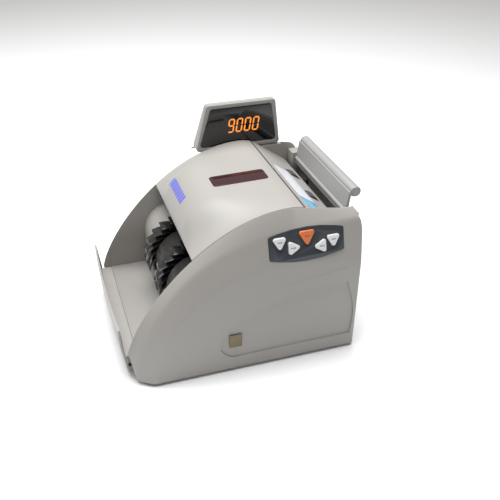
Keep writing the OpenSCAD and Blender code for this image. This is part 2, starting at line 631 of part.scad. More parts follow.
// ---- guides and sensors ----
module lower_guide() color([0.25, 0.20, 0.17]) along_x(-half + fit, half - fit) {
    arc_band(drum_axis, drum_r + 3.5, drum_r + 5.5, -100, -5, 16);
    low = on_circle(drum_axis, drum_r + 5.5, -95);
    polygon([low, low + [0, 2], [impeller_y + blade_r + 4, low[1] + 8], [impeller_y + blade_r + 4, low[1] + 6]]);
}
module count_sensors() color(black) for (x = [-70, 0, 70])
    translate([x - 8, drum_axis[0] - 6, drum_axis[1] - drum_r - 16]) cube([16, 12, 9]);

// ---- drive ----
motor_x = [-20, 44];
module motor_can() color(steel) difference() {
    rod_x(motor_axis[0], motor_axis[1], 22, motor_x[0], motor_x[1]);
    rod_x(motor_axis[0], motor_axis[1], shaft_r + run_gap, motor_x[0] - 1, motor_x[0] + 20);
}
module motor_bracket() color(steel) {
    along_x(motor_x[0] - sheet_t, motor_x[0]) difference() {
        translate([motor_axis[0] - 26, pan_z]) square([52, 58]);
        translate(motor_axis) circle(8);
    }
    translate([motor_x[0], motor_axis[0] - 26, pan_z]) cube([30, 52, sheet_t]);
}
module motor_shaft() color(steel) {
    rod_x(motor_axis[0], motor_axis[1], shaft_r, -belt_xs[1] - belt_w - 0.4, motor_x[0] + 18);
    mirror([1, 0, 0]) rod_x(motor_axis[0], motor_axis[1], motor_pulley_r, belt_xs[1], belt_xs[1] + belt_w);
}
// The outline round two pulleys, from their tangent points
module belt_outline(a, ra, b, rb) {
    d = norm(b - a);
    dir = atan2(b[1] - a[1], b[0] - a[0]);
    lean = acos((ra - rb) / d);
    translate(a) circle(ra);
    translate(b) circle(rb);
    polygon([on_circle(a, ra, dir + lean), on_circle(b, rb, dir + lean),
        on_circle(b, rb, dir - lean), on_circle(a, ra, dir - lean)]);
}
module belt(i, a, ra, b, rb) mirror([1, 0, 0]) along_x(belt_xs[i] + 0.2, belt_xs[i] + belt_w - 0.2)
    difference() {
        belt_outline(a, ra + part_gap + belt_t, b, rb + part_gap + belt_t);
        belt_outline(a, ra + part_gap, b, rb + part_gap);
    }
module drive_belts() color(black) {
    belt(0, drum_axis, drum_pulley_rs[0], feed_axis, feed_pulley_r);
    belt(1, drum_axis, drum_pulley_rs[1], motor_axis, motor_pulley_r);
    belt(2, drum_axis, drum_pulley_rs[2], impeller, impeller_pulley_r);
}

// ---- electrics ----
module main_board() color([0.1, 0.35, 0.2]) translate([-92, 30, pan_z]) {
    translate([0, 0, 6]) cube([60, 100, 1.6]);
    for (x = [5, 55], y = [5, 95]) translate([x, y, 0]) cylinder(r = 3, h = 6);
    for (y = [15, 30]) translate([15, y, 7.6]) cylinder(r = 5, h = 14);
    translate([30, 20, 7.6]) cube([20, 8, 20]);
    translate([25, 55, 7.6]) cube([22, 22, 3]);
}
module transformer() color([0.35, 0.33, 0.32]) translate([58, -92, pan_z]) {
    difference() {
        cube([38, 46, 26]);
        translate([-1, 8, 5]) cube([40, 8, 16]);
        translate([-1, 30, 5]) cube([40, 8, 16]);
    }
}
module power_inlet() color(black) translate([inlet_x, rear_y, socket_z]) difference() {
    union() {
        translate([-14 + fit, -22, -10.5 + fit]) cube([28 - 2 * fit, 22, 21 - 2 * fit]);
        translate([-17, 0, -13]) cube([34, 2.5, 26]);
    }
    translate([-12, -15, -8]) cube([24, 20, 16]);
}
module power_rocker() color(black) translate([rocker_x, rear_y, socket_z]) difference() {
    intersection() {
        translate([-6, -7, -9.5]) cube([12, 11, 19]);
        rotate([0, 90, 0]) cylinder(r = 9.8, h = 20, center = true);
    }
    translate([-7, 9, 0]) rotate([0, 90, 0]) cylinder(r = 8, h = 14);
}
module case_screws() color(steel) both_sides() for (p = screw_places) {
    rod_x(p[0], p[1], screw_r, half, frame_x + sheet_t + 1);
    rod_x(p[0], p[1], 2 * screw_r, half - 1.6, half);
}

base_pan();
rubber_feet();
left_cheek();
right_cheek();
left_frame_plate();
right_frame_plate();
tie_rods();
shaft_bearings();
stacker_tray();
stripper_plates();
front_ledge();
flap_pins();
stop_flap();
top_cover();
cover_window();
cover_pins();
upper_guide();
lower_guide();
hopper_plate();
hopper_label();
rear_cover();
backrest_pins();
backrest_plate();
grip_bar();
keypad_plate();
keypad_board();
button_down_1();
button_right();
button_start();
button_left();
button_down_2();
badge();
display_housing();
display_bezel();
display_glass();
digit_module();
display_pin();
impeller_shaft();
left_impeller();
right_impeller();
impeller_pulley();
drum_shaft();
drum_rollers();
drum_pulleys();
feed_shaft();
feed_rollers();
feed_pulley();
retard_carrier();
retard_rollers();
gap_knob();
motor_can();
motor_bracket();
motor_shaft();
drive_belts();
main_board();
transformer();
power_inlet();
power_rocker();
count_sensors();
case_screws();
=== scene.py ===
# %% [markdown]
# # A banknote counting machine
# The CAD model is the fixed frame of this lesson: it holds every size, and everything here is built on
# it. A machine like this is a moulded plastic body with soft edges round a steel inside, so most cells
# make one moulded shell with real roundings, and the last ones give each piece its finish, the light and
# the camera.

# %% Load the frame
import bpy
import math
from mathutils import Matrix, Vector


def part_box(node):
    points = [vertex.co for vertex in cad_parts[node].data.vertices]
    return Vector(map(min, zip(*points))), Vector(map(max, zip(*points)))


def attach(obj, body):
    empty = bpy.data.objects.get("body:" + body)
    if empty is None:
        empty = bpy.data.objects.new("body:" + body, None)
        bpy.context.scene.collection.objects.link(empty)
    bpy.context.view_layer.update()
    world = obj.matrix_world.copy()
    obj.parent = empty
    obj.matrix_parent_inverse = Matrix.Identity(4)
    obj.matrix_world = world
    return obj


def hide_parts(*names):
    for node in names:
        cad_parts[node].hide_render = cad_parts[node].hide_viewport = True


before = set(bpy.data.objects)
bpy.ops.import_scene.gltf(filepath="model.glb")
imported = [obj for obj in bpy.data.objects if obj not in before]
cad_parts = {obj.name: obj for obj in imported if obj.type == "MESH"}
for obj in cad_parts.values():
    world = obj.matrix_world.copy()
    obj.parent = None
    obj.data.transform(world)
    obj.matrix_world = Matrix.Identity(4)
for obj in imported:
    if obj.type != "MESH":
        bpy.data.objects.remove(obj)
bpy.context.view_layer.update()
MM = 0.001

# %% [markdown]
# ## Shader maths as plain expressions
# A finish is easier to read as a formula than as a list of wires. A small class wraps a node's output, so
# that `1 - mask` or `grain * 0.2` adds the Math node by itself, and one method adds every other kind of
# node.


# %% Shader helper
class Value:
    """A number that changes over the surface: an output socket with arithmetic."""

    def __init__(self, finish, socket):
        self.finish, self.socket = finish, socket

    def math(self, operation, other=None, first=None):
        a = self if first is None else first
        b = other if first is None else self
        return self.finish.node("ShaderNodeMath", {"operation": operation}, {0: a, 1: b})

    def __add__(self, other): return self.math("ADD", other)
    def __radd__(self, other): return self.math("ADD", first=other)
    def __sub__(self, other): return self.math("SUBTRACT", other)
    def __rsub__(self, other): return self.math("SUBTRACT", first=other)
    def __mul__(self, other): return self.math("MULTIPLY", other)
    def __rmul__(self, other): return self.math("MULTIPLY", first=other)
    def __truediv__(self, other): return self.math("DIVIDE", other)
    def __lt__(self, other): return self.math("LESS_THAN", other)
    def __gt__(self, other): return self.math("GREATER_THAN", other)
    def __abs__(self): return self.math("ABSOLUTE", 0.0)


class Finish:
    """A material with its Principled shader, and the nodes that feed it."""

    def __init__(self, name, color, roughness, **constants):
        self.material = bpy.data.materials.new(name)
        self.material.use_nodes = True
        self.tree = self.material.node_tree
        self.shader = self.tree.nodes["Principled BSDF"]
        self.set("Base Color", color)
        self.set("Roughness", roughness)
        for socket, value in constants.items():
            self.set(socket.replace("_", " "), value)

    def set(self, socket, value):
        """Sets or links one input of the shader."""
        self.feed(self.shader.inputs[socket], value)

    def feed(self, target, value):
        if isinstance(value, Value):
            self.tree.links.new(value.socket, target)
        elif isinstance(value, tuple) and len(value) == 3 and target.type == "RGBA":
            target.default_value = (*value, 1.0)
        elif value is not None:
            target.default_value = value

    def node(self, kind, settings, inputs, output=0):
        """Adds a node, applies its settings first and feeds its sockets."""
        made = self.tree.nodes.new(kind)
        for key, value in settings.items():
            setattr(made, key, value)
        for key, value in inputs.items():
            self.feed(made.inputs[key], value)
        return Value(self, made.outputs[output])

    def place(self):
        """The point on the piece, in metres."""
        return self.node("ShaderNodeTexCoord", {}, {}, "Object")

    def axis(self, name):
        split = self.tree.nodes.new("ShaderNodeSeparateXYZ")
        self.feed(split.inputs[0], self.place())
        return Value(self, split.outputs[name])

    def noise(self, scale, detail=2.0, where=None):
        return self.node("ShaderNodeTexNoise", {}, {"Vector": where or self.place(), "Scale": scale,
                                                    "Detail": detail})

    def stretched(self, x, y, z):
        """The point with each axis scaled, for a grain that runs one way."""
        return self.node("ShaderNodeMapping", {}, {"Vector": self.place(), "Scale": (x, y, z)})

    def mix(self, share, a, b):
        """A colour between a and b."""
        made = self.tree.nodes.new("ShaderNodeMix")
        made.data_type = "RGBA"
        for socket, value in ((0, share), (6, a), (7, b)):
            self.feed(made.inputs[socket], value)
        return Value(self, made.outputs[2])

    def soft_step(self, value, low, high):
        """0 below low, 1 above high, smooth between."""
        return self.node("ShaderNodeMapRange", {"interpolation_type": "SMOOTHSTEP"},
                         {"Value": value, "From Min": low, "From Max": high})

    def bump(self, height, strength, depth):
        made = self.node("ShaderNodeBump", {}, {"Height": height, "Strength": strength, "Distance": depth})
        self.set("Normal", made)
        return self


# Scale and depth in metres of the spark texture that the body's plastics share
SPARK, SPARK_DEPTH = 1500, 0.00009


def moulded(name, color, roughness=0.5, grain=SPARK_DEPTH, tint=0.05, **constants):
    """Injection-moulded plastic: a fine sparked texture, slow shifts of tint and dust in the grain."""
    made = Finish(name, color, roughness, **constants)
    spark = made.noise(SPARK, 3.0)
    cloud = made.noise(9, 2.0)
    dusty = tuple(c * (1 - 2.4 * tint) for c in color)
    clean = tuple(min(1, c * (1 + tint)) for c in color)
    made.set("Base Color", made.mix(cloud * 0.7 + spark * 0.3, dusty, clean))
    made.set("Roughness", roughness - 0.06 + cloud * 0.08 + spark * 0.06)
    return made.bump(spark, 0.35, grain)


# %% [markdown]
# ## The finishes
# The body is warm grey ABS with a fine spark texture. The keypad is a satin film, the display a black
# gloss panel, the impellers a shiny elastomer, and the inside is zinc-plated sheet, ground steel, rubber
# and circuit board. Each is a formula on the piece's own coordinates, so it stays put when the piece
# moves.

# %% Body plastics
SHELL = (0.32, 0.307, 0.29)
body_plastic = moulded("body_plastic", SHELL, 0.46)
inner_plastic = moulded("inner_plastic", tuple(c * 0.92 for c in SHELL), 0.5)
trim_plastic = moulded("trim_plastic", (0.29, 0.288, 0.282), 0.42)
# The paper guides are a dark plastic whose very dark brown is partly painted shade, matching the dark under the
# front of the cover.
guide_plastic = moulded("guide_plastic", (0.055, 0.038, 0.030), 0.4)
dark_plastic = moulded("dark_plastic", (0.022, 0.022, 0.025), 0.42)
button_white = moulded("button_white", (0.68, 0.69, 0.70), 0.35, tint=0.03)
button_orange = moulded("button_orange", (0.62, 0.17, 0.055), 0.35, tint=0.03)


# %% Metals, rubbers and electrics
def brushed(name, color, along, roughness=0.32):
    """Sheet or ground steel: fine lines along one axis and a faint mottled plating."""
    made = Finish(name, color, roughness, Metallic=1.0)
    scales = [900.0, 900.0, 900.0]
    scales["xyz".index(along)] = 18.0
    lines = made.noise(1.0, 2.0, made.stretched(*scales))
    bloom = made.noise(60, 3.0)
    made.set("Base Color", made.mix(bloom, tuple(c * 0.8 for c in color), color))
    made.set("Roughness", roughness - 0.08 + lines * 0.16)
    return made.bump(lines, 0.2, 0.00005)


sheet_steel = brushed("sheet_steel", (0.50, 0.51, 0.50), "y")
pin_steel = brushed("pin_steel", (0.58, 0.58, 0.59), "x", 0.24)
motor_plate = brushed("motor_plate", (0.42, 0.43, 0.44), "x", 0.3)


def rubber(name, color, roughness=0.72):
    """Rubber: matt, with a soft dusty bloom and a ground surface."""
    made = Finish(name, color, roughness)
    fine = made.noise(1100, 4.0)
    made.set("Base Color", made.mix(made.noise(40), color, tuple(c * 1.9 + 0.006 for c in color)))
    made.set("Roughness", roughness - 0.08 + fine * 0.16)
    return made.bump(fine, 0.4, 0.00012)


foot_rubber = rubber("foot_rubber", (0.018, 0.018, 0.018))
roller_rubber = rubber("roller_rubber", (0.030, 0.030, 0.033), 0.6)
belt_rubber = rubber("belt_rubber", (0.016, 0.016, 0.017))


def blade_finish():
    """Glossy elastomer with faint flow marks that run round the wheel."""
    made = Finish("blade_plastic", (0.012, 0.012, 0.013), 0.2, Coat_Weight=0.4)
    marks = made.noise(1.0, 2.0, made.stretched(700, 60, 60))
    made.set("Base Color", made.mix(marks, (0.008, 0.008, 0.009), (0.022, 0.021, 0.020)))
    made.set("Roughness", 0.14 + marks * 0.14)
    return made.bump(marks, 0.25, 0.00008)


def board_finish():
    """Solder mask over copper tracks, with the weave of the laminate in the gloss."""
    made = Finish("circuit_board", (0.02, 0.11, 0.04), 0.35, Coat_Weight=0.3)
    cells = made.node("ShaderNodeTexBrick", {}, {"Vector": made.place(), "Scale": 160.0}, "Fac")
    tracks = made.soft_step(cells, 0.3, 0.7)
    made.set("Base Color", made.mix(tracks, (0.012, 0.085, 0.028), (0.04, 0.17, 0.06)))
    made.set("Roughness", 0.3 + made.noise(900) * 0.12)
    return made.bump(tracks, 0.3, 0.00004)


def film_finish(name, color, roughness, **constants):
    """A printed film: nearly smooth, with a slight orange-peel wave."""
    made = Finish(name, color, roughness, **constants)
    wave = made.noise(260, 2.0)
    made.set("Base Color", made.mix(wave, tuple(c * 0.86 for c in color), color))
    made.set("Roughness", roughness - 0.03 + wave * 0.07)
    return made.bump(wave, 0.12, 0.0001)


blade_plastic = blade_finish()
circuit_board = board_finish()
keypad_film = film_finish("keypad_film", (0.030, 0.037, 0.046), 0.34)
window_film = film_finish("window_film", (0.040, 0.013, 0.015), 0.16, Coat_Weight=0.5)
badge_film = film_finish("badge_film", (0.17, 0.135, 0.075), 0.35, Metallic=0.4)
black_glass = film_finish("black_glass", (0.006, 0.0065, 0.007), 0.08, Coat_Weight=0.5)
iron_core = brushed("iron_core", (0.16, 0.12, 0.09), "z", 0.55)


# %% Prints, strip and light
blue_print = film_finish("blue_print", (0.11, 0.13, 0.55), 0.4)
grey_print = film_finish("grey_print", (0.22, 0.23, 0.25), 0.45)
red_print = film_finish("red_print", (0.42, 0.05, 0.03), 0.45)


def strip_finish():
    """A glossy printed strip: white, with a cyan end."""
    made = Finish("strip_film", (0.78, 0.80, 0.85), 0.15, Coat_Weight=0.6)
    end = made.soft_step(made.axis("X"), 0.060, 0.061)
    wave = made.noise(200, 2.0)
    white = made.mix(wave, (0.74, 0.77, 0.85), (0.82, 0.84, 0.88))
    made.set("Base Color", made.mix(end, white, (0.10, 0.42, 0.68)))
    made.set("Roughness", 0.12 + wave * 0.08)
    return made.bump(wave, 0.1, 0.0001)


def pocket_painted_shade_finish():
    """Plates of the wheel pocket: body plastic on the left, and painted shade from the left wheel to the right
    end, where they are painted black for the dark seen behind the blades and deep in the pocket.
    """
    made = Finish("pocket_plastic_painted_shade", SHELL, 0.45)
    inner = made.soft_step(made.axis("X"), -0.0445, -0.0435)
    spark = made.noise(SPARK, 3.0)
    pale = made.mix(spark, tuple(c * 0.86 for c in SHELL), tuple(c * 0.96 for c in SHELL))
    black = made.mix(spark, (0.010, 0.009, 0.008), (0.016, 0.014, 0.013))
    # The black share is painted shade: the plate is pale plastic, and black stands in for the dark behind the
    # wheels.
    made.set("Base Color", made.mix(inner, pale, black))
    made.set("Roughness", 0.38 + spark * 0.08)
    return made.bump(spark, 0.35, SPARK_DEPTH)


def lit_finish():
    """Amber light behind the glass, with a fine grain in its tint."""
    made = Finish("amber_light", (0.25, 0.06, 0.01), 0.3, Emission_Strength=1.35)
    grain = made.noise(700, 1.0)
    made.set("Emission Color", made.mix(grain, (1.0, 0.22, 0.02), (1.0, 0.34, 0.045)))
    made.set("Roughness", 0.25 + grain * 0.1)
    return made.bump(grain, 0.05, 0.00003)


strip_film = strip_finish()
pocket_plastic_painted_shade = pocket_painted_shade_finish()
amber_light = lit_finish()
# %% [markdown]
# ## Modelling helpers
# Operators act on whatever is selected, so every edit starts with nothing selected and then picks faces
# or edges by where they are or which way they face. Three starts are enough here: a grid wrapped round a
# row of outlines, a filled outline that is extruded, and a clean copy of a CAD piece that only needs its
# corners rounded.

# %% Selecting and editing
def at_rest():
    """Object mode with nothing selected."""
    if bpy.context.object and bpy.context.object.mode != "OBJECT":
        bpy.ops.object.mode_set(mode="OBJECT")
    bpy.ops.object.select_all(action="DESELECT")


def edit(piece, mode="FACE"):
    """Edit mode on one piece, with nothing picked."""
    at_rest()
    bpy.context.view_layer.objects.active = piece
    piece.select_set(True)
    bpy.ops.object.mode_set(mode="EDIT")
    bpy.ops.mesh.select_all(action="DESELECT")
    bpy.ops.mesh.select_mode(type=mode)


def pick_faces(piece, test):
    """Picks the faces whose middle (mm) and normal pass the test."""
    at_rest()
    for face in piece.data.polygons:
        face.select = bool(test(face.center / MM, face.normal))
    picked = sum(face.select for face in piece.data.polygons)
    for edge in piece.data.edges:
        edge.select = False
    for point in piece.data.vertices:
        point.select = False
    return resume(piece, "FACE", picked)


def pick_edges(piece, test):
    """Picks the edges whose two ends (mm) pass the test."""
    at_rest()
    points = [v.co / MM for v in piece.data.vertices]
    for face in piece.data.polygons:
        face.select = False
    for point in piece.data.vertices:
        point.select = False
    picked = 0
    for e in piece.data.edges:
        e.select = bool(test(points[e.vertices[0]], points[e.vertices[1]]))
        picked += e.select
    return resume(piece, "EDGE", picked)


def resume(piece, mode, picked):
    bpy.context.view_layer.objects.active = piece
    piece.select_set(True)
    bpy.context.tool_settings.mesh_select_mode = (False, mode == "EDGE", mode == "FACE")
    bpy.ops.object.mode_set(mode="EDIT")
    return picked


def apply_modifier(piece, kind, **settings):
    """Adds a modifier, sets it and applies it."""
    at_rest()
    bpy.context.view_layer.objects.active = piece
    piece.select_set(True)
    made = piece.modifiers.new(kind.title(), kind)
    for key, value in settings.items():
        setattr(made, key, value)
    bpy.ops.object.modifier_apply(modifier=made.name)


def boolean(piece, tool, operation="DIFFERENCE"):
    """Cuts one piece with another and removes the tool."""
    apply_modifier(piece, "BOOLEAN", object=tool, operation=operation, solver="EXACT")
    bpy.data.objects.remove(tool)


def tidy(piece, closed=True, merge=0.00001):
    """Merges doubled points and turns the faces outwards."""
    edit(piece, "VERT")
    bpy.ops.mesh.select_all(action="SELECT")
    bpy.ops.mesh.remove_doubles(threshold=merge)
    if closed:
        bpy.ops.mesh.normals_make_consistent(inside=False)
    at_rest()
    return piece


def shade(piece, angle=35):
    at_rest()
    bpy.context.view_layer.objects.active = piece
    piece.select_set(True)
    bpy.ops.object.shade_smooth_by_angle(angle=math.radians(angle))
    at_rest()


def finished(piece, finish, body, *nodes, slot=None, angle=35):
    """Paints a piece, hands it to its body and hides the CAD nodes it stands for."""
    shade(piece, angle)
    piece.data.materials.clear()
    piece.data.materials.append(finish.material)
    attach(piece, body)
    if nodes:
        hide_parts(*nodes)
    size = [round(c / MM, 1) for c in piece.dimensions]
    print(f"{piece.name}: {len(piece.data.polygons)} faces, {size} mm")
    return piece


# %% Starting shapes
def wrapped(name, rings, closed=True, caps=True):
    """A grid whose rows are set on outlines given in mm; closed rings are sewn and capped."""
    at_rest()
    across = len(rings[0]) + (1 if closed else 0)
    bpy.ops.mesh.primitive_grid_add(x_subdivisions=across - 1, y_subdivisions=len(rings) - 1, size=1)
    piece = bpy.context.object
    piece.name = piece.data.name = name
    for j, ring in enumerate(rings):
        for i in range(across):
            piece.data.vertices[j * across + i].co = Vector(ring[i % len(ring)]) * MM
    if closed:
        tidy(piece, closed=False)
        if caps:
            edit(piece, "EDGE")
            bpy.ops.mesh.select_non_manifold()
            bpy.ops.mesh.edge_face_add()
            at_rest()
            for end in (rings[0], rings[-1]):
                cap_end(piece, end)
            tidy(piece)
    return piece


def cap_end(piece, ring):
    """Fills one open end if it is still open."""
    ends = {tuple(round(c, 4) for c in p) for p in ring}
    edit(piece, "EDGE")
    bpy.ops.mesh.select_non_manifold()
    at_rest()
    points = [tuple(round(c, 4) for c in v.co / MM) for v in piece.data.vertices]
    loose = [e for e in piece.data.edges if e.select]
    for e in loose:
        e.select = points[e.vertices[0]] in ends and points[e.vertices[1]] in ends
    if any(e.select for e in loose):
        resume(piece, "EDGE", 0)
        bpy.ops.mesh.edge_face_add()
        at_rest()


def plate(name, outline, along, low, high):
    """A filled outline in mm, extruded along one axis from low to high."""
    at_rest()
    bpy.ops.mesh.primitive_circle_add(vertices=len(outline), fill_type="NGON", radius=1)
    piece = bpy.context.object
    piece.name = piece.data.name = name
    for point, (u, v) in zip(piece.data.vertices, outline):
        point.co = Vector({"x": (low, u, v), "y": (u, low, v), "z": (u, v, low)}[along]) * MM
    edit(piece)
    bpy.ops.mesh.select_all(action="SELECT")
    shift = [0.0, 0.0, 0.0]
    shift["xyz".index(along)] = (high - low) * MM
    bpy.ops.mesh.extrude_region_move(TRANSFORM_OT_translate={"value": shift})
    return tidy(piece)


def box_piece(name, low, high):
    """A block between two corners in mm."""
    return plate(name, [(low[1], low[2]), (high[1], low[2]), (high[1], high[2]), (low[1], high[2])], "x",
                 low[0], high[0])


def rounded(points, radius, steps=6):
    """An outline whose corners are arcs; radius is one number or one for each corner."""
    made, n = [], len(points)
    radii = radius if isinstance(radius, (list, tuple)) else [radius] * n
    for i, p in enumerate(points):
        p, a, b = Vector(p), Vector(points[i - 1]), Vector(points[(i + 1) % n])
        u, v = (a - p).normalized(), (b - p).normalized()
        half = u.angle(v) / 2
        reach = radii[i] / math.tan(half)
        centre = p + (u + v).normalized() * radii[i] / math.sin(half)
        for k in range(steps + 1):
            t = k / steps
            q = (p + u * reach) * (1 - t) + (p + v * reach) * t
            made.append(centre + (q - centre).normalized() * radii[i] if radii[i] > 0 else p)
    return [tuple(q) for q in made]


def copy_of(node, name):
    """A clean copy of a CAD piece: sewn, with its flat faces whole again."""
    at_rest()
    piece = bpy.data.objects.new(name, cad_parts[node].data.copy())
    bpy.context.scene.collection.objects.link(piece)
    edit(piece, "VERT")
    bpy.ops.mesh.customdata_custom_splitnormals_clear()
    bpy.ops.mesh.select_all(action="SELECT")
    bpy.ops.mesh.remove_doubles(threshold=0.000005)
    bpy.ops.mesh.dissolve_limited(angle_limit=math.radians(0.6))
    at_rest()
    piece.data.materials.clear()
    return piece


def softened(node, name, radius, finish, body, segments=3, corner=40, slot=None):
    """A CAD piece with its hard edges rounded as a mould or a file leaves them."""
    piece = copy_of(node, name)
    apply_modifier(piece, "BEVEL", width=radius * MM, segments=segments, limit_method="ANGLE",
                   angle_limit=math.radians(corner), use_clamp_overlap=True)
    return finished(piece, finish, body, node, slot=slot, angle=corner - 5)


def bezier(points, t):
    """A point on a cubic curve given by four points."""
    a, b, c, d = (Vector(p) for p in points)
    return a * (1 - t) ** 3 + b * 3 * (1 - t) ** 2 * t + c * 3 * (1 - t) * t * t + d * t ** 3

# %% [markdown]
# ## The two cheeks
# Each cheek is a tall moulded side that arches over like a mudguard. Its surface turns through three
# edges: the inner edge beside the cover, a crease on the shoulder and the outer edge round the flat side.
# Wrapping a grid on those three outlines gives the big facets at once. Bevels then turn the sharp edges
# into the long soft roundings of the mould, and a smaller copy of the same form is cut out from
# underneath, so that a real wall is left round the belts and bearings.

# %% Outlines of a cheek
HALF, CREASE, SIDE = 100.0, 112.5, 125.0
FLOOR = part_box("base_pan")[0].z / MM
EDGE_INNER = [(-145, 40), (-131, 99), (-36, 212), (64, 207)]
EDGE_CREASE = [(-140, 20), (-117.5, 90), (-75, 180), (64, 185)]
EDGE_OUTER = [(-120, 6), (-110, 28), (-100, 149.5), (57, 144)]
WALL = 2.5
ARCH_STEPS = 44


def cheek_outline(x, edge, toe, tail, shoulder, cut=0.0, low=FLOOR):
    """Toe, arch, tail, shoulder and heel of a cheek at one x, moved inwards by cut."""
    arch = []
    for i in range(ARCH_STEPS + 1):
        t = i / ARCH_STEPS
        ahead = (bezier(edge, min(1, t + 0.01)) - bezier(edge, max(0, t - 0.01))).normalized()
        arch.append(bezier(edge, t) + cut * Vector((ahead.y, -ahead.x)))
    outline = [(toe + cut, low)] + [tuple(p) for p in arch]
    outline += [(tail[0] - 0.6 * cut, tail[1] - cut), (shoulder[0] - cut, shoulder[1] - 0.4 * cut),
                (shoulder[0] - cut, low)]
    return [(x, y, z) for y, z in outline]


def cheek_rings(side, xs, cuts=(0.0, 0.0, 0.0), low=FLOOR):
    """The three outlines of a cheek; side is 1 on the right and -1 on the left."""
    return [cheek_outline(side * xs[0], EDGE_INNER, -139, (139, 194), (147, 182), cuts[0], low),
            cheek_outline(side * xs[1], EDGE_CREASE, -138, (143, 187), (147, 175), cuts[1], low),
            cheek_outline(side * xs[2], EDGE_OUTER, -119.5, (121, 137), (144, 131), cuts[2], low)]


def cheek_skin(name, side):
    """The outside of a cheek with its roundings."""
    rings = cheek_rings(side, (HALF, CREASE, SIDE))
    piece = wrapped(name, rings)
    above = lambda p: p.z > FLOOR + 0.5
    corners = [{(round(r[i][1], 2), round(r[i][2], 2)) for r in rings} for i in (-3, -2)]
    spot = lambda p: (round(p.y, 2), round(p.z, 2))
    for corner, radius in zip(corners, (5, 4)):
        pick_edges(piece, lambda a, b: spot(a) in corner and spot(b) in corner and abs(a.x - b.x) > 1)
        bpy.ops.mesh.bevel(offset=radius * MM, segments=4, affect="EDGES")
    for x, radius in ((CREASE, 3.5), (SIDE, 3.5), (HALF, 1.3)):
        at_x = lambda p: abs(abs(p.x) - x) < 0.01
        pick_edges(piece, lambda a, b: at_x(a) and at_x(b) and (above(a) or above(b)))
        bpy.ops.mesh.bevel(offset=radius * MM, segments=4, affect="EDGES")
    return tidy(piece)


def hollow(piece, side, kept=None):
    """Takes the inside out of a cheek, from underneath, except for a block that is kept solid."""
    inside = wrapped("inside", cheek_rings(side, (HALF + WALL, CREASE, SIDE - WALL),
                                           (3.4 * WALL, 2.4 * WALL, 0.2 * WALL), FLOOR - 1))
    if kept:
        boolean(inside, kept)
    boolean(piece, inside)
    return piece


def bore(y, z, radius, x0, x1):
    """A round cutter along x."""
    outline = [(y + radius * math.cos(a), z + radius * math.sin(a)) for a in
               (i * math.tau / 32 for i in range(32))]
    return plate("cutter", outline, "x", x0, x1)


SHAFTS = [(-40, 86), (81.667, 119.654), (104.667, 165.654)]
right_cheek = hollow(cheek_skin("right_cheek_moulding", 1), 1)
left_cheek = hollow(cheek_skin("left_cheek_moulding", -1), -1,
                    box_piece("pocket_block", (-126, -4.5, 191), (-99, 124.5, 215)))
for y, z in SHAFTS:
    boolean(right_cheek, bore(y, z, 5, 98, 104))
    boolean(left_cheek, bore(y, z, 5, -104, -98))
print("cheek faces:", len(right_cheek.data.polygons), len(left_cheek.data.polygons))

# %% [markdown]
# ## Details of the cheeks
# The right side carries a shallow swept panel with a stepped upper edge, a round-cornered bed for the
# keypad and a small bed for the badge. Boolean cutters suit all three, because each is one closed recess
# in a finished surface. The panel's cutter is tapered, so that its edge catches the light as a drafted
# mould edge does. The left cheek has a long pocket in its top, where the display stands.

# %% The swept panel on the right side
PANEL = [(138, 22), (139, 62), (128, 104), (92, 103.5), (54, 98.5), (21, 88.5), (-7, 74), (-27, 58.5), (-35, 43),
         (-32, 31), (-21, 21.5)]


def smooth_outline(points, corners, steps=5):
    """A closed outline through the points, curved between them and sharp at the named corners."""
    made, n = [], len(points)
    for i in range(n):
        p0, p1, p2, p3 = (Vector(points[(i + k) % n]) for k in (-1, 0, 1, 2))
        if i in corners:
            p0 = p1
        if (i + 1) % n in corners:
            p3 = p2
        for k in range(steps):
            t = k / steps
            made.append(0.5 * ((2 * p1) + (p2 - p0) * t + (2 * p0 - 5 * p1 + 4 * p2 - p3) * t * t
                               + (3 * p1 - p0 - 3 * p2 + p3) * t ** 3))
    return [tuple(p) for p in made]


def tapered(name, outline, x_in, x_out, grow):
    """A cutter for a recess in the side: its outer end is larger by grow."""
    cutter = plate(name, outline, "x", x_in, x_out)
    pick_faces(cutter, lambda c, n: n.x > 0.9)
    low = [min(p[k] for p in outline) for k in (0, 1)]
    high = [max(p[k] for p in outline) for k in (0, 1)]
    ratio = [1 + 2 * grow / (high[k] - low[k]) for k in (0, 1)]
    middle = Vector((x_out, (low[0] + high[0]) / 2, (low[1] + high[1]) / 2)) * MM
    bpy.ops.transform.resize(value=(1, ratio[0], ratio[1]), center_override=middle)
    return tidy(cutter)


boolean(right_cheek, tapered("cutter", smooth_outline(PANEL, {0, 2, 10}), SIDE - 1.8, SIDE + 1.1, 0.7))
badge_low, badge_high = (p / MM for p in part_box("badge"))
(y0, z0), (y1, z1) = ((p.y + gap, p.z + gap) for p, gap in ((badge_low, -0.3), (badge_high, 0.3)))
badge_bed = rounded([(y0, z0), (y1, z0), (y1, z1), (y0, z1)], 1.2)
boolean(right_cheek, plate("cutter", badge_bed, "x", SIDE - 0.5, SIDE + 1))
print("right cheek with its panel:", len(right_cheek.data.polygons), "faces")

# %% The keypad's bed
TILT = math.radians(16.955)
KEYPAD_FRAME = Matrix(((0, -math.sin(TILT), math.cos(TILT), 0.118125 - 0.0012 * math.cos(TILT)),
                       (1, 0, 0, 0.073),
                       (0, math.cos(TILT), math.sin(TILT), 0.16605 - 0.0012 * math.sin(TILT)),
                       (0, 0, 0, 1)))


def on_keypad(piece):
    """Moves a piece drawn flat, rearwards along x and up the slope along y, on to the keypad's plane."""
    at_rest()
    piece.data.transform(KEYPAD_FRAME)
    return tidy(piece)


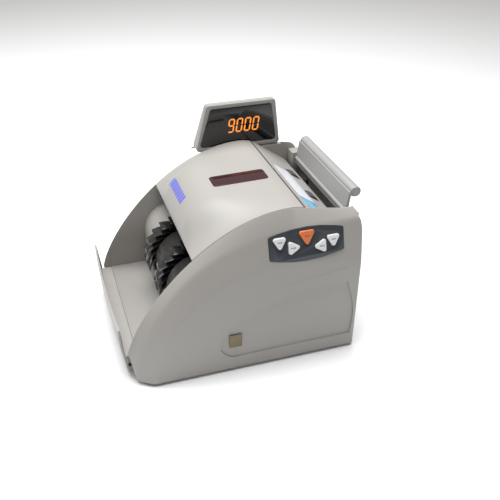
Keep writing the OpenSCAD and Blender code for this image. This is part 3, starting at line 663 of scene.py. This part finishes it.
keypad_outline = rounded([(-47, -14), (-36, -16.6), (-18, -19.5), (0, -20.5), (18, -19.5), (36, -16.6), (47, -14),
                          (47, 14), (36, 16.6), (18, 19.5), (0, 20.5), (-18, 19.5), (-36, 16.6), (-47, 14)],
                         [2.5, 30, 30, 30, 30, 30, 2.5, 2.5, 30, 30, 30, 30, 30, 2.5], steps=4)
bed = [(u * 1.006, v * 1.012) for u, v in keypad_outline]
boolean(right_cheek, on_keypad(plate("cutter", bed, "z", 0, 12)))
finished(right_cheek, body_plastic, "chassis", "right_cheek", slot="shell", angle=32)

# %% The display's pocket in the left cheek
pocket = plate("cutter", rounded([(-2, 193.5), (122, 193.5), (122, 230), (-2, 230)], [1.5, 1.5, 0.01, 0.01]),
               "x", -130, -99)
boolean(left_cheek, pocket)
finished(left_cheek, body_plastic, "chassis", "left_cheek", slot="shell", angle=32)

# %% [markdown]
# ## The top cover
# The cover is one thin moulded sheet. It follows the cheeks at its two sides and rises to a fuller crown
# in the middle, so it is a grid whose rows blend between those two lines. The flanges and the turned-down
# front lip are extruded from the grid's own edges, Solidify gives the sheet its thickness, and the window
# is cut through it. The tinted window is cut from a second copy of the same sheet, so that it follows the
# crown exactly.

# %% Lines of the cover
COVER_HALF, COVER_FRONT, COVER_REAR = 99.4, -61.0, 74.6
CREST = 207.0
CROWN = CREST - 2.5


def fall(y):
    """Height of the cheeks' top behind the crest."""
    return CREST - (y - 64) * 13 / 75


def curve_at(edge, y):
    """The parameter where a curve's first coordinate reaches y."""
    low, high = 0.0, 1.0
    for _ in range(30):
        middle = (low + high) / 2
        low, high = (middle, high) if bezier(edge, middle)[0] < y else (low, middle)
    return low


def cover_line(x, steps=46):
    """The cover's outside from front to rear at one x."""
    start = curve_at(EDGE_INNER, COVER_FRONT)
    front = bezier(EDGE_INNER, start)[1] - 0.5
    bow = [(COVER_FRONT, front), (COVER_FRONT + 4, front + 26), (COVER_FRONT + 24, CROWN - 1),
           (COVER_FRONT + 56, CROWN)]
    u = min(1.0, max(0.0, (abs(x) - 40) / (COVER_HALF - 40)))
    crown_share = 1 - u * u * (3 - 2 * u)
    line = []
    for i in range(steps + 1):
        t = i / steps
        side = bezier(EDGE_INNER, start + (1 - start) * t) - Vector((0, 0.5))
        if t < 0.62:
            crown = bezier(bow, t / 0.62)
        else:
            k = (t - 0.62) / 0.38
            crown = Vector((COVER_FRONT + 56 + (64 - COVER_FRONT - 56) * k, CROWN + 1.5 * k))
        line.append(side * (1 - crown_share) + crown * crown_share)
    line.append(Vector((COVER_REAR, fall(COVER_REAR) - 0.5)))
    return [(x, p[0], p[1]) for p in line]


STATIONS = [COVER_HALF * s for s in (-1, -0.985, -0.96, -0.92, -0.86, -0.79, -0.72, -0.65, -0.58, -0.52, -0.46,
                                     -0.41, -0.36, -0.2, 0, 0.2, 0.36, 0.41, 0.46, 0.52, 0.58, 0.65, 0.72, 0.79,
                                     0.86, 0.92, 0.96, 0.985, 1)]


def cover_sheet(name):
    """The cover's outside as an open sheet whose normals point up."""
    piece = wrapped(name, [cover_line(x) for x in STATIONS], closed=False)
    edit(piece)
    bpy.ops.mesh.select_all(action="SELECT")
    bpy.ops.mesh.normals_make_consistent(inside=False)
    at_rest()
    if sum(f.normal.z for f in piece.data.polygons) < 0:
        edit(piece)
        bpy.ops.mesh.select_all(action="SELECT")
        bpy.ops.mesh.flip_normals()
    at_rest()
    return piece


# %% Sheet, flanges and lip
cover = cover_sheet("cover_moulding")
pick_edges(cover, lambda a, b: abs(abs(a.x) - COVER_HALF) < 0.01 and abs(abs(b.x) - COVER_HALF) < 0.01)
bpy.ops.mesh.extrude_edges_move(TRANSFORM_OT_translate={"value": (0, 0.001, -0.0085)})
front_edge = lambda p: abs(p.y - COVER_FRONT) < 0.2 and abs(p.x) < COVER_HALF + 0.1
pick_edges(cover, lambda a, b: front_edge(a) and front_edge(b) and abs(a.x - b.x) > 0.3)
bpy.ops.mesh.extrude_edges_move(TRANSFORM_OT_translate={"value": (0, 0.0006, -0.0022)})
bpy.ops.mesh.extrude_edges_move(TRANSFORM_OT_translate={"value": (0, 0.0045, -0.0012)})
at_rest()
apply_modifier(cover, "SOLIDIFY", thickness=0.0022, offset=-1, use_even_offset=False)
apply_modifier(cover, "BEVEL", width=0.0007, segments=3, limit_method="ANGLE", angle_limit=math.radians(50),
               use_clamp_overlap=True)
tidy(cover)

# %% Window
WINDOW = [(-8, -11), (20, -11), (20, 61), (-8, 61)]
pane = cover_sheet("window_pane")
apply_modifier(pane, "SOLIDIFY", thickness=0.0024, offset=-1)
pane_outline = [(x + (0.3 if x < 0 else -0.3), y + (0.3 if y < 0 else -0.3)) for x, y in WINDOW]
boolean(pane, plate("cutter", rounded(pane_outline, 4.2), "z", 190, 215), "INTERSECT")
edit(pane)
bpy.ops.mesh.select_all(action="SELECT")
bpy.ops.transform.translate(value=(0, 0, -0.0004))
at_rest()
boolean(cover, plate("cutter", rounded(WINDOW, 4.5), "z", 190, 215))
apply_modifier(pane, "BEVEL", width=0.0003, segments=2, limit_method="ANGLE", angle_limit=math.radians(50))
finished(pane, window_film, "top_cover", "cover_window", slot="window", angle=30)

# %% [markdown]
# ## Decal on the cover
# A row of blue print runs along the front slope. Real print is a film far thinner than any mesh, so it is
# a plain coloured band on a piece cut from the sheet's own surface and lifted by a tenth of a millimetre.
# It has no words.

# %% Decal
decal = cover_sheet("cover_decal")
apply_modifier(decal, "SOLIDIFY", thickness=0.0008, offset=-1)
edit(decal)
bpy.ops.mesh.select_all(action="SELECT")
bpy.ops.transform.translate(value=(0, -0.00008, 0.0001))
at_rest()
marks = [plate("mark", rounded([(x, -52), (x + 5.6, -52), (x + 5.6, -44), (x, -44)], 1.0, 2), "z", 150, 215)
         for x in (-57 + 7.4 * i for i in range(9))]
at_rest()
for mark in marks:
    mark.select_set(True)
bpy.context.view_layer.objects.active = marks[0]
bpy.ops.object.join()
boolean(decal, marks[0], "INTERSECT")
finished(decal, blue_print, "top_cover", slot="label", angle=30)
finished(cover, body_plastic, "top_cover", "top_cover", slot="shell", angle=32)

# %% [markdown]
# ## Keypad and buttons
# The keypad is a dark barrel-shaped panel let into the slope of the right cheek, with five button caps
# standing out of it. A cap starts as its wide flange underneath. Its top face is inset and extruded up
# through the panel, and the upper rim is bevelled, because a moulded cap has a soft edge where a finger
# lands. Each cap is its own piece, so that it can be pressed.

# %% Panel and caps
BUTTONS = {"button_down_1": (-34, 7, 11, -90), "button_right": (-18, -2, 11, 0), "button_start": (0, 10, 13, -90),
           "button_left": (18, -5, 11, 180), "button_down_2": (33, 1, 11, -90)}
BODIES = {"button_down_1": "down_button_1", "button_right": "right_button", "button_start": "start_button",
          "button_left": "left_button", "button_down_2": "down_button_2"}


def triangle(button, grow=0.0, radius=2.5):
    """The rounded triangle of a button, larger by grow."""
    u, v, reach, angle = BUTTONS[button]
    return rounded([(u + (reach + 2 * grow) * math.cos(math.radians(angle + 120 * i)),
                     v + (reach + 2 * grow) * math.sin(math.radians(angle + 120 * i))) for i in range(3)],
                   radius + grow)


panel = plate("keypad_panel", keypad_outline, "z", 0, 1.6)
for button in BUTTONS:
    boolean(panel, plate("cutter", triangle(button, 0.45), "z", -2, 4))
pick_edges(panel, lambda a, b: a.z > 1.5 and b.z > 1.5)
bpy.ops.mesh.bevel(offset=0.00035, segments=2, affect="EDGES")
finished(on_keypad(panel), keypad_film, "chassis", "keypad_plate", slot="keypad", angle=30)

for button in BUTTONS:
    cap = plate(button + "_cap", triangle(button, 1.0), "z", -5, -2.9)
    pick_faces(cap, lambda c, n: n.z > 0.9)
    bpy.ops.mesh.inset(thickness=0.001, use_even_offset=True)
    bpy.ops.mesh.extrude_region_move(TRANSFORM_OT_translate={"value": (0, 0, 0.0069)})
    pick_edges(cap, lambda a, b: a.z > 3.9 and b.z > 3.9)
    bpy.ops.mesh.bevel(offset=0.0011, segments=4, affect="EDGES")
    start = button == "button_start"
    finish = button_orange if start else button_white
    finished(on_keypad(cap), finish, BODIES[button], button, slot="orange_button" if start else "white_button",
             angle=40)
    u, v, reach, angle = BUTTONS[button]
    dots = [plate("mark", rounded([(w - 0.55, v - 0.9), (w + 0.55, v - 0.9), (w + 0.55, v + 0.9),
                                   (w - 0.55, v + 0.9)], 0.3, 2), "z", 3.9, 4.04)
            for w in (u - 2.2, u - 0.7, u + 0.8, u + 2.3)]
    at_rest()
    for dot in dots:
        dot.select_set(True)
    bpy.context.view_layer.objects.active = dots[0]
    bpy.ops.object.join()
    dots[0].name = button + "_mark"
    ink = red_print if start else grey_print
    finished(on_keypad(dots[0]), ink, BODIES[button], slot="keypad")

# %% [markdown]
# ## Display
# The display is a flat housing that stands in the left cheek's pocket, with a thin bezel, a black gloss
# panel and amber figures behind it. The housing and bezel keep their CAD shape with the corners rounded.
# A seven-segment figure is a set of slim six-sided bars that lean a little, so one bar is drawn and every
# figure lists the bars it lights.

# %% Housing, bezel and glass
softened("display_housing", "display_back", 1.2, body_plastic, "display", slot="shell")
softened("display_bezel", "display_rim", 0.9, trim_plastic, "display", slot="shell")
softened("display_glass", "display_pane", 0.3, black_glass, "display", segments=2, slot="display_glass")

# %% Figures
FIGURES = {"9": "abcdfg", "0": "abcdef"}
FIGURE_W, FIGURE_H, BAR, LEAN = 7.2, 18.0, 1.8, 0.15


def bar(y0, z0, y1, z1):
    """One lit bar between two corners of a figure, as a six-sided plate."""
    a, b = Vector((y0, z0)), Vector((y1, z1))
    along = (b - a).normalized()
    a, b = a + along * 0.35, b - along * 0.35
    across = Vector((-along.y, along.x)) * BAR / 2
    tip = along * BAR / 2
    outline = [a, a + tip + across, b - tip + across, b, b - tip - across, a + tip - across]
    return plate("bar", [(p.x + LEAN * (p.y - 226), p.y) for p in reversed(outline)], "x", -100.7, -100.58)


def figure(sign, y, z):
    """The bars of one figure whose lower left corner is at y, z."""
    h = FIGURE_H / 2
    ends = {"a": (0, 2 * h, 1, 2 * h), "b": (1, h, 1, 2 * h), "c": (1, 0, 1, h), "d": (0, 0, 1, 0),
            "e": (0, 0, 0, h), "f": (0, h, 0, 2 * h), "g": (0, h, 1, h)}
    lit = [ends[b] for b in FIGURES[sign]]
    return [bar(y + FIGURE_W * e[0], z + e[1], y + FIGURE_W * e[2], z + e[3]) for e in lit]


bars = [made for i, sign in enumerate("9000") for made in figure(sign, 44.5 + 11.7 * i, 220)]
at_rest()
for made in bars:
    made.select_set(True)
bpy.context.view_layer.objects.active = bars[0]
bpy.ops.object.join()
bars[0].name = "lit_figures"
finished(bars[0], amber_light, "display", slot="digits")

# %% [markdown]
# ## Stacking wheels
# Two wheels of curved elastic blades catch each note and lay it on the tray. A blade is a curved strip
# that is thicker at the root and sweeps back against the turn. One blade is drawn, its edges are bevelled
# so that they glint, and it is copied round the rim of a hub that is hollow on its motor side.

# %% Blades and hubs
WHEEL = Vector((0, -40, 86))
HUB_R, BLADE_R, WHEEL_W, BLADES, SWEEP = 33.0, 54.0, 20.0, 24, 34.0


def blade_point(u, side, turn):
    """A point on a blade, from root to tip, on its front (0) or back (1)."""
    r = HUB_R - 1 + (BLADE_R - HUB_R + 1) * u
    a = math.radians(SWEEP * u ** 1.3 + side * 57 * (1.8 - 0.7 * u) / r + turn)
    return (WHEEL.y + r * math.cos(a), WHEEL.z + r * math.sin(a))


def wheel(name, x, node):
    """One hub with its blades."""
    side = WHEEL_W / 2
    hub = bore(WHEEL.y, WHEEL.z, HUB_R, x - side, x + side)
    hub.name = name
    pick_edges(hub, lambda a, b: abs(a.x - b.x) < 0.1)
    bpy.ops.mesh.bevel(offset=0.0012, segments=3, affect="EDGES")
    at_rest()
    hollow_side = bore(WHEEL.y, WHEEL.z, HUB_R - 3, x - side - 1, x + side - 3)
    boolean(hollow_side, bore(WHEEL.y, WHEEL.z, 9, x - side - 2, x + side))
    boolean(hub, hollow_side)
    boolean(hub, bore(WHEEL.y, WHEEL.z, 3.02, x - side - 2, x + side + 2))
    blade = plate("blade", [blade_point(i / 20, 0, 0) for i in range(21)]
                  + [blade_point(i / 20, 1, 0) for i in range(20, -1, -1)], "x", x - side, x + side)
    pick_edges(blade, lambda a, b: abs(a.x - b.x) < 0.1)
    bpy.ops.mesh.bevel(offset=0.00035, segments=2, affect="EDGES")
    at_rest()
    blades = [blade]
    for k in range(1, BLADES):
        more = blade.copy()
        more.data = blade.data.copy()
        bpy.context.scene.collection.objects.link(more)
        turn = Matrix.Rotation(k * math.tau / BLADES, 4, "X")
        more.data.transform(Matrix.Translation(WHEEL * MM) @ turn @ Matrix.Translation(-WHEEL * MM))
        blades.append(more)
    at_rest()
    for piece in [hub] + blades:
        piece.select_set(True)
    bpy.context.view_layer.objects.active = hub
    bpy.ops.object.join()
    return finished(hub, blade_plastic, "impellers", node, slot="blade_plastic", angle=30)


wheel("left_wheel", -32, "left_impeller")
wheel("right_wheel", 32, "right_impeller")

# %% [markdown]
# ## Stacker
# The notes land on a tray between the cheeks, with a curved plate behind it and a flap in front. These
# are plain moulded sheets whose CAD form is right, so only their edges are rounded.

# %% Tray, plates and flap
softened("stacker_tray", "tray_floor", 0.6, inner_plastic, "chassis", slot="shell")
# The stripper plates carry painted shade: black from the left wheel to the right end.
softened("stripper_plates", "pocket_back", 0.5, pocket_plastic_painted_shade, "chassis", slot="shell")
softened("front_ledge", "tray_front", 0.6, inner_plastic, "chassis", slot="shell")
softened("stop_flap", "front_flap", 0.9, body_plastic, "stop_flap", slot="shell")

# %% [markdown]
# ## Hopper, backrest and rear
# The hopper is a smooth slope with a printed strip, and the backrest is a plate with a fat rounded bar
# along its top. The rear wall carries the vents, the gap knob, the rocker and the mains inlet.

# %% Hopper
softened("hopper_plate", "hopper_slope", 0.6, body_plastic, "chassis", slot="shell")
SLOPE_TOP, SLOPE_DIR = Vector((77, 204.05)), Vector((0.8245, -0.5659))
SLOPE_OUT = Vector((0.5659, 0.8245))


def slope_strip(name, x0, x1, s0, s1, thick):
    """A thin strip lying on the hopper's slope."""
    corners = [SLOPE_TOP + SLOPE_DIR * s0, SLOPE_TOP + SLOPE_DIR * s1]
    outline = [corners[0], corners[1], corners[1] + SLOPE_OUT * thick, corners[0] + SLOPE_OUT * thick]
    return plate(name, [tuple(p) for p in outline], "x", x0, x1)


finished(slope_strip("hopper_strip", -30, 88, 10, 35, 0.25), strip_film, "chassis", "hopper_label",
         slot="label")

# %% Backrest and rear
softened("backrest_plate", "backrest_sheet", 0.7, trim_plastic, "backrest", slot="shell")
softened("grip_bar", "backrest_bar", 2.2, trim_plastic, "backrest", segments=4, slot="shell")
softened("rear_cover", "rear_wall", 0.7, body_plastic, "chassis", slot="shell")
softened("gap_knob", "gap_dial", 0.5, dark_plastic, "knob", slot="dark_plastic")
softened("power_rocker", "rocker_cap", 0.6, dark_plastic, "rocker", slot="dark_plastic")
softened("power_inlet", "mains_inlet", 0.5, dark_plastic, "chassis", slot="dark_plastic")
softened("badge", "badge_plate", 0.1, badge_film, "chassis", segments=2, slot="badge")

# %% [markdown]
# ## Finishes for the parts that keep their CAD shape
# Rods, shafts, pulleys and the parts deep inside are already the right shape, so they only need what they
# are made of. One table pairs each of them with its finish, and their meshes are left as they came.

# %% Paint the CAD parts
CAD_FINISHES = {
    sheet_steel: ["base_pan", "left_frame_plate", "right_frame_plate"],
    pin_steel: ["tie_rods", "shaft_bearings", "flap_pins", "cover_pins", "backrest_pins", "display_pin",
                "impeller_shaft", "drum_shaft", "feed_shaft", "motor_shaft", "case_screws"],
    motor_plate: ["motor_can", "motor_bracket"],
    foot_rubber: ["rubber_feet"],
    roller_rubber: ["drum_rollers", "feed_rollers", "retard_rollers"],
    belt_rubber: ["drive_belts"],
    dark_plastic: ["impeller_pulley", "drum_pulleys", "feed_pulley", "retard_carrier", "count_sensors",
                   "power_inlet", "power_rocker", "gap_knob"],
    guide_plastic: ["upper_guide", "lower_guide"],
    circuit_board: ["main_board", "keypad_board"],
    iron_core: ["transformer"],
    body_plastic: ["left_cheek", "right_cheek", "top_cover", "rear_cover", "hopper_plate",
                   "display_housing", "stop_flap"],
    inner_plastic: ["stacker_tray", "front_ledge"],
    pocket_plastic_painted_shade: ["stripper_plates"],
    trim_plastic: ["backrest_plate", "grip_bar", "display_bezel", "hopper_label"],
    window_film: ["cover_window"],
    keypad_film: ["keypad_plate"],
    button_white: ["button_down_1", "button_right", "button_left", "button_down_2"],
    button_orange: ["button_start"],
    badge_film: ["badge"],
    black_glass: ["display_glass"],
    blade_plastic: ["left_impeller", "right_impeller", "digit_module"],
}
painted = 0
for finish, nodes in CAD_FINISHES.items():
    for name in nodes:
        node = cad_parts[name]
        node.data.materials.clear()
        node.data.materials.append(finish.material)
        painted += 1
print(painted, "CAD parts painted of", len(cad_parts))

# %% [markdown]
# ## Floor, light and camera
# A plain pale floor runs to the horizon of a plain pale world. A large soft light hangs above, so the top
# is bright and the keypad side stays in its own soft shade. A weak one fills the front. The camera looks
# down on the corner between the stacker and the keypad side with a normal lens.

# %% Floor
at_rest()
bpy.ops.mesh.primitive_plane_add(size=14, location=(0, 0, -0.0005))
floor = bpy.context.object
floor.name = "floor"
floor_finish = Finish("floor_paper", (0.94, 0.95, 0.96), 0.9)
floor_grain = floor_finish.noise(220, 3.0)
floor_finish.set("Base Color", floor_finish.mix(floor_grain, (0.93, 0.94, 0.95), (0.95, 0.96, 0.97)))
floor.data.materials.append(floor_finish.material)

# %% World and lights
world = bpy.data.worlds.new("studio")
bpy.context.scene.world = world
world.use_nodes = True
world.node_tree.nodes["Background"].inputs["Color"].default_value = (1.0, 0.955, 0.92, 1.0)
world.node_tree.nodes["Background"].inputs["Strength"].default_value = 0.34


def soft_light(name, place, target, size, power, tint=(1, 1, 1)):
    """A square area light that faces a point; places in metres."""
    bpy.ops.object.light_add(type="AREA", location=place)
    lamp = bpy.context.object
    lamp.name = name
    lamp.data.size = size
    lamp.data.energy = power
    lamp.data.color = tint
    lamp.rotation_mode = "QUATERNION"
    lamp.rotation_quaternion = (Vector(target) - Vector(place)).to_track_quat("-Z", "Y")
    return lamp


soft_light("top_light", (-0.15, -0.05, 1.5), (-0.02, 0, 0.15), 1.2, 40, (0.99, 1.0, 1.0))
soft_light("front_light", (-0.5, -1.1, 0.9), (0, 0, 0.12), 0.9, 4)

# %% Camera
bpy.ops.object.camera_add(location=(0.7432, -0.2117, 0.5959))
camera = bpy.context.object
camera.name = "camera"
forward = Vector((-0.8059, 0.2536, -0.5351)).normalized()
camera.rotation_mode = "QUATERNION"
camera.rotation_quaternion = forward.to_track_quat("-Z", "Y")
camera.data.sensor_width = 36
camera.data.lens = 49.7
camera.data.shift_x, camera.data.shift_y = 0.03, -0.01
camera.data.clip_start, camera.data.clip_end = 0.01, 50
bpy.context.scene.camera = camera
bpy.context.scene.view_settings.view_transform = "Standard"
